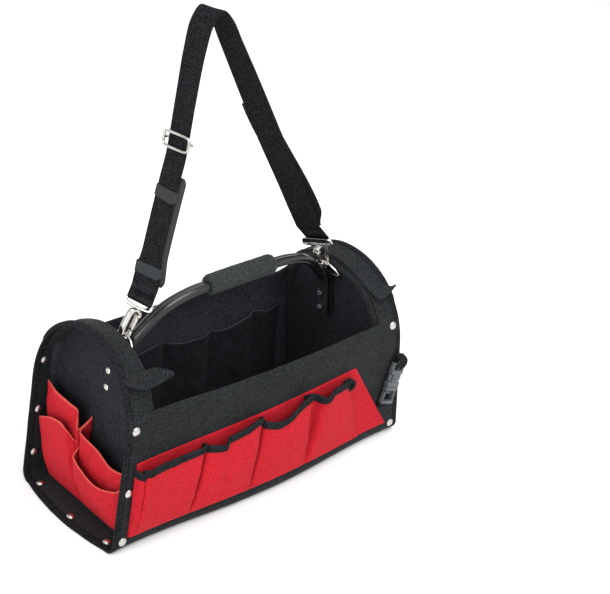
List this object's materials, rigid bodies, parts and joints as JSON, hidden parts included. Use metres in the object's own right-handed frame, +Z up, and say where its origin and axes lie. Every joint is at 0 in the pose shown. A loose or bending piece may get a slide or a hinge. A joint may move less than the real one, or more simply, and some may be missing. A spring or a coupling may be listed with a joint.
{
  "type": "tool bag",
  "caption": "Open-topped canvas tool bag with arched ends, pleated outside pockets, a tube handle with a padded grip and a hooked shoulder strap.",
  "frame": {"origin": "middle of the base's lower face, between the two ends and the two long walls", "axes": "+Z up from the base, +X along the bag towards the end with the buckle, -Y out of the front wall with the pleated pockets"},
  "size_m": [0.478, 0.2202, 0.5929],
  "materials": {
    "black_canvas": "heavy woven canvas, matte",
    "red_canvas": "heavy woven canvas, matte",
    "black_webbing": "ribbed woven webbing",
    "black_tube": "black gloss coating",
    "grip_cloth": "foam sleeve with a cloth face",
    "grey_plastic": "moulded, satin",
    "grey_rubber": "moulded, matte",
    "bright_steel": "polished nickel plate"
  },
  "bodies": {
    "bag": {"base_panel": "black_canvas", "front_wall": "black_canvas", "back_wall": "black_canvas", "end_panel_left": "black_canvas", "end_panel_right": "black_canvas", "end_rim_left": "black_canvas", "end_rim_right": "black_canvas", "hood_left": "black_canvas", "hood_right": "black_canvas", "end_pockets_tall_left": "red_canvas", "end_pockets_tall_right": "red_canvas", "end_pockets_low_left": "red_canvas", "end_pockets_low_right": "red_canvas", "pocket_back_front": "red_canvas", "front_pockets": "red_canvas", "pocket_binding": "black_webbing", "inner_pockets": "black_canvas", "handle": "black_tube", "handle_grip": "grip_cloth", "handle_bolt_left_1": "bright_steel", "handle_bolt_left_2": "bright_steel", "handle_bolt_right_1": "bright_steel", "handle_bolt_right_2": "bright_steel", "d_ring_left": "bright_steel", "d_ring_right": "bright_steel", "ring_loop_left": "black_webbing", "ring_loop_right": "black_webbing", "hook_left": "bright_steel", "hook_right": "bright_steel", "shoulder_strap": "black_webbing", "strap_tail": "black_webbing", "strap_slider": "bright_steel", "shoulder_pad": "grey_rubber", "pad_keeper_low": "grey_rubber", "pad_keeper_high": "grey_rubber", "buckle_socket": "grey_plastic", "buckle_prongs": "grey_plastic", "buckle_web_top": "black_webbing", "buckle_web_low": "black_webbing", "rivet_front_left_1": "bright_steel", "rivet_front_left_2": "bright_steel", "rivet_front_left_3": "bright_steel", "rivet_back_left_1": "bright_steel", "rivet_back_left_2": "bright_steel", "rivet_back_left_3": "bright_steel", "rivet_base_left_1": "bright_steel", "rivet_base_left_2": "bright_steel", "rivet_base_left_3": "bright_steel", "rivet_front_right_1": "bright_steel", "rivet_front_right_2": "bright_steel", "rivet_front_right_3": "bright_steel", "rivet_back_right_1": "bright_steel", "rivet_back_right_2": "bright_steel", "rivet_back_right_3": "bright_steel", "rivet_base_right_1": "bright_steel", "rivet_base_right_2": "bright_steel", "rivet_base_right_3": "bright_steel"},
    "gate_left": {"gate_left": "bright_steel"},
    "gate_right": {"gate_right": "bright_steel"}
  },
  "joints": [
    {"name": "gate_left_hinge", "type": "hinge", "parent": "bag", "child": "gate_left", "pos_m": [-0.1435, -0.01, 0.24698], "axis": [0, 1, 0], "range_deg": [0, 20], "stiffness_Nm_per_rad": 0.02, "springref_deg": -11.46},
    {"name": "gate_right_hinge", "type": "hinge", "parent": "bag", "child": "gate_right", "pos_m": [0.1435, 0.002, 0.24698], "axis": [0, -1, 0], "range_deg": [0, 20], "stiffness_Nm_per_rad": 0.02, "springref_deg": -11.46}
  ]
}
